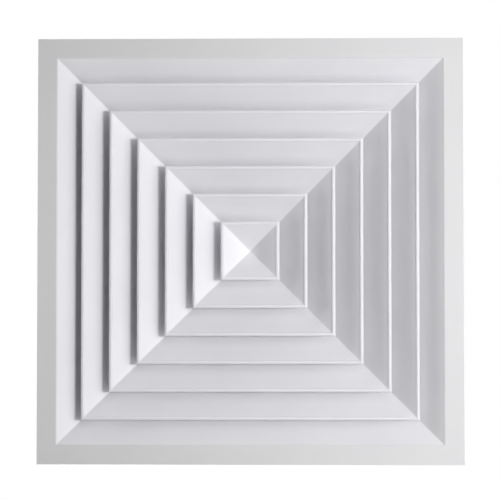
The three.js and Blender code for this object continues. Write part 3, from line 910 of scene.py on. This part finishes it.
def make_link_plate():
    """The slotted plate that turns the blades together."""
    low, high = extent("link_plate")
    outline = rectangle(low.x, low.z, high.x, high.z, 4)
    plate = soften(extruded("link_plate_blank", outline, low.y, high.y, "Y"), 0.25)
    windows = [
        extruded("window", window_outline(x, crank_side(i)), low.y - 1, high.y + 1, "Y")
        for i, x in enumerate(blade_axes())
    ]
    combine(plate, windows, "DIFFERENCE")
    finish(plate, ZINC_SHEET, "link", ["link_plate"])


def make_damper_lever():
    """Strap that hangs from the link plate and is bent at its foot into a finger tab."""
    low, high = extent("damper_lever")
    wall, half = LEVER["wall"], LEVER["width"] / 2
    bend = fillet([
        (low.y, high.z, 0.3), (low.y, low.z, 2.3), (high.y, low.z, 0.3),
        (high.y, low.z + wall, 0.3), (low.y + wall, low.z + wall, 0.8), (low.y + wall, high.z, 0.3),
    ])
    lever = extruded("damper_lever_strap", bend, LEVER["x"] - half, LEVER["x"] + half, "X")
    corner = fillet([
        (LEVER["x"] - half, low.y, 0), (LEVER["x"] + half, low.y, 0),
        (LEVER["x"] + half, high.y, 4), (LEVER["x"] - half, high.y, 4),
    ])
    keep = extruded("keep", corner, low.z - 1, high.z + 1, "Z")
    combine(lever, [keep], "INTERSECT")
    soften(lever, 0.2)
    finish(lever, ZINC_SHEET, "link", ["damper_lever"])


def make_lever_rivets():
    """Two rivets side by side through the lever and the link plate."""
    outer, inner = extent("damper_lever")[0].y, extent("link_plate")[1].y
    profile = [(outer - height, radius) for height, radius in LEVER_RIVET_HEAD]
    profile += [(inner + height, radius) for height, radius in LEVER_RIVET_TAIL]
    for number, side in enumerate((-1, 1)):
        centre = (LEVER["x"] + LEVER_RIVET["aside"] * side, 0, LEVER_RIVET["z"])
        rivet = round_bar(f"lever_rivet_{number + 1}", profile, "Y", centre, 28)
        finish(rivet, PLATE, "link")


# ---------------------------------------------------------------- stage

# Lengths here are metres, apart from the lens and its sensor.
CAMERA = {"place": (0.037, 0.058, -2.0), "aim": (0.0, -0.001, 0.0)}
LENS = {"focal": 103.3, "sensor": 36, "clip_end": 60}
FLOOR = {"z": -2.6, "half": 30, "thickness": 0.01}
SKY = (1.7, 0.2)  # light that the object gets from round the horizon and from overhead
BACKDROP = (0.6, 1.0)  # what the camera sees there
LIGHTS = (
    # name, distance from the face, degrees below it, degrees about Z from +X, width, watts
    ("key_high", 2.4, 62, (0,), 0.24, 19.4),
    ("key_low", 2.4, 54, (0,), 0.24, 8.4),
    ("fill", 2.4, 38, (0,), 0.84, 8.1),
    ("near_wing", 1.0, 58, (30, -30), 0.35, 0.44),
    ("wide_wing", 1.0, 58, (60, -60), 0.35, 1.12),
    ("low_wing", 2.4, 22, (30, -30), 0.84, 3.4),
    ("back_rim", 2.4, 8, (120, -120), 0.84, 6.5),
    ("left_rim", 1.0, 8, (180,), 0.35, 1.66),
)


def aimed(place, target, up):
    """A camera's or light's matrix at a place, looking at a target."""
    forward = (Vector(target) - Vector(place)).normalized()
    right = forward.cross(Vector(up)).normalized()
    matrix = Matrix((right, right.cross(forward), -forward)).transposed().to_4x4()
    matrix.translation = place
    return matrix


def make_camera():
    """A long lens below the face, looking almost straight up, with the front side on top."""
    data = bpy.data.cameras.new("camera")
    data.lens = LENS["focal"]
    data.sensor_width = LENS["sensor"]
    data.clip_end = LENS["clip_end"]
    camera = bpy.data.objects.new("camera", data)
    camera.matrix_world = aimed(CAMERA["place"], CAMERA["aim"], (0, -1, 0))
    bpy.context.scene.collection.objects.link(camera)
    bpy.context.scene.camera = camera


def area_light(name, distance, below, about, size, power):
    """A square softbox under the ceiling, aimed at the middle of the face."""
    data = bpy.data.lights.new(name, "AREA")
    data.shape = "SQUARE"
    data.size = size
    data.energy = power
    light = bpy.data.objects.new(name, data)
    below, about = math.radians(below), math.radians(about)
    level = distance * math.cos(below)
    place = (level * math.cos(about), level * math.sin(about), -distance * math.sin(below))
    light.matrix_world = aimed(place, (0, 0, 0), (0, 0, 1))
    light.visible_camera = False
    bpy.context.scene.collection.objects.link(light)


def make_lights():
    """Every softbox, with those that stand in pairs on both sides."""
    for name, distance, below, angles, size, power in LIGHTS:
        for about in angles:
            area_light(name, distance, below, about, size, power)


def make_floor():
    """A pale floor a room's height below, which sends no light back up to the object."""
    half, top = FLOOR["half"] / MM, FLOOR["z"] / MM
    bottom = top - FLOOR["thickness"] / MM
    corners = ((-half, -half), (half, -half), (half, half), (-half, half))
    floor = loft("floor", [[(x, y, z) for x, y in corners] for z in (bottom, top)])
    floor.data.materials.append(pale_floor())
    floor.visible_diffuse = False
    floor.visible_glossy = False


def make_world():
    """A sky that lights the object from above the ceiling only, and a backdrop for the camera.

    The sky is bright round the horizon and dim overhead. The backdrop is white overhead, behind
    the face, and meets the floor's grey at the horizon.
    """
    world = bpy.data.worlds.new("studio")
    bpy.context.scene.world = world
    world.use_nodes = True
    tree = world.node_tree
    tree.nodes.clear()

    def add(kind, inputs, **settings):
        return add_node(tree, kind, inputs, settings)

    def ramp(value, start, end, low, high):
        inputs = {"Value": value, "From Min": start, "From Max": end, "To Min": low, "To Max": high}
        return add("ShaderNodeMapRange", inputs).outputs["Result"]

    direction = add("ShaderNodeTexCoord", {}).outputs["Generated"]
    height = add("ShaderNodeSeparateXYZ", {"Vector": direction}).outputs["Z"]
    above = ramp(height, -0.02, 0.02, 0.0, 1.0)
    overhead = ramp(height, 0.3, 0.8, *SKY)
    level = add("ShaderNodeMath", {0: above, 1: overhead}, operation="MULTIPLY").outputs[0]
    room = add("ShaderNodeBackground", {"Color": (1, 1, 1, 1), "Strength": level}).outputs[0]
    far = ramp(height, 0.25, 0.7, *BACKDROP)
    backdrop = add("ShaderNodeBackground", {"Color": (1, 1, 1, 1), "Strength": far}).outputs[0]
    seen = add("ShaderNodeLightPath", {}).outputs["Is Camera Ray"]
    mixed = add("ShaderNodeMixShader", {0: seen, 1: room, 2: backdrop}).outputs[0]
    add("ShaderNodeOutputWorld", {"Surface": mixed})


# ---------------------------------------------------------------- assembly

make_camera()
make_world()
make_lights()
make_floor()
bpy.context.scene.view_settings.view_transform = "Standard"

for place, (side, degrees) in enumerate(SIDES.items()):
    make_frame_side(side, degrees)
    make_corner_key(place + 1, degrees)
    for ring in range(LOUVRE_COUNT):
        make_louvre(ring + 1, side, degrees)
    make_core_clip(side, degrees)
    make_clip_rivet(side, degrees)
    make_damper_rail(side, degrees)
make_centre_cone()
make_centre_post()
make_cross_bar("cross_bar_lower", True, 0)
make_cross_bar("cross_bar_upper", False, 90)
make_damper_blades()
make_link_plate()
make_damper_lever()
make_lever_rivets()
for first_screw, side in ((1, "rear"), (3, "front")):
    make_damper_screw(first_screw, side, -NECK_SCREW["along"])
    make_damper_screw(first_screw + 1, side, NECK_SCREW["along"])
    for i, along in enumerate(blade_axes()):
        make_journal_bush(side, i + 1, along)
